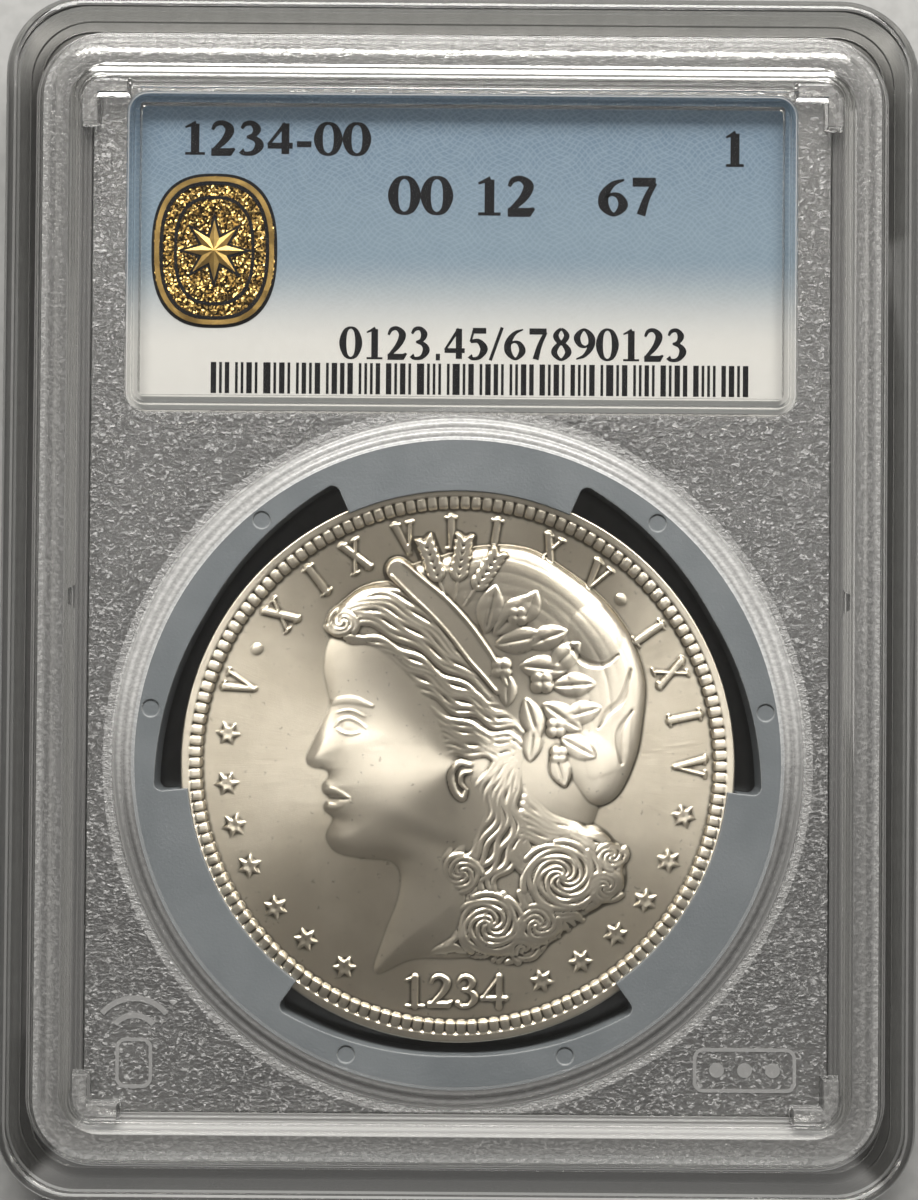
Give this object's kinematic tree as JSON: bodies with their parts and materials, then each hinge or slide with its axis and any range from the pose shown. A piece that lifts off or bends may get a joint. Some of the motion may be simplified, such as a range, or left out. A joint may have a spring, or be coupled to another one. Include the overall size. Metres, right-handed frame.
{
  "type": "graded coin slab",
  "caption": "Flat clear plastic holder with a stepped edge, a printed label under a window and a silver coin held in a soft ring below it.",
  "frame": {"origin": "centre of the back rim's plane, on which the slab lies", "axes": "+Z out of the front, +Y towards the label, +X to the right seen from the front"},
  "size_m": [0.063, 0.083, 0.008],
  "materials": {
    "clear_shell": "clear polystyrene, polished windows and flange, fine spark-eroded grain on the rim and the recess",
    "soft_insert": "translucent grey-white soft polymer, smooth",
    "coin_silver": "struck silver with mint lustre",
    "label_paper": "coated card, blue to white gradient with a fine line pattern",
    "gold_foil": "glitter foil with a dark border",
    "seal_foil": "embossed hologram foil",
    "tag_film": "clear polyester film",
    "tag_coil": "etched foil",
    "tag_chip": "black resin"
  },
  "bodies": {
    "root": {"front_shell": "clear_shell", "back_shell": "clear_shell", "insert_ring": "soft_insert", "coin": "coin_silver", "label_card": "label_paper", "label_back": "label_paper", "label_emblem": "gold_foil", "security_seal": "seal_foil", "tag_film": "tag_film", "tag_antenna": "tag_coil", "tag_chip": "tag_chip"}
  },
  "joints": []
}
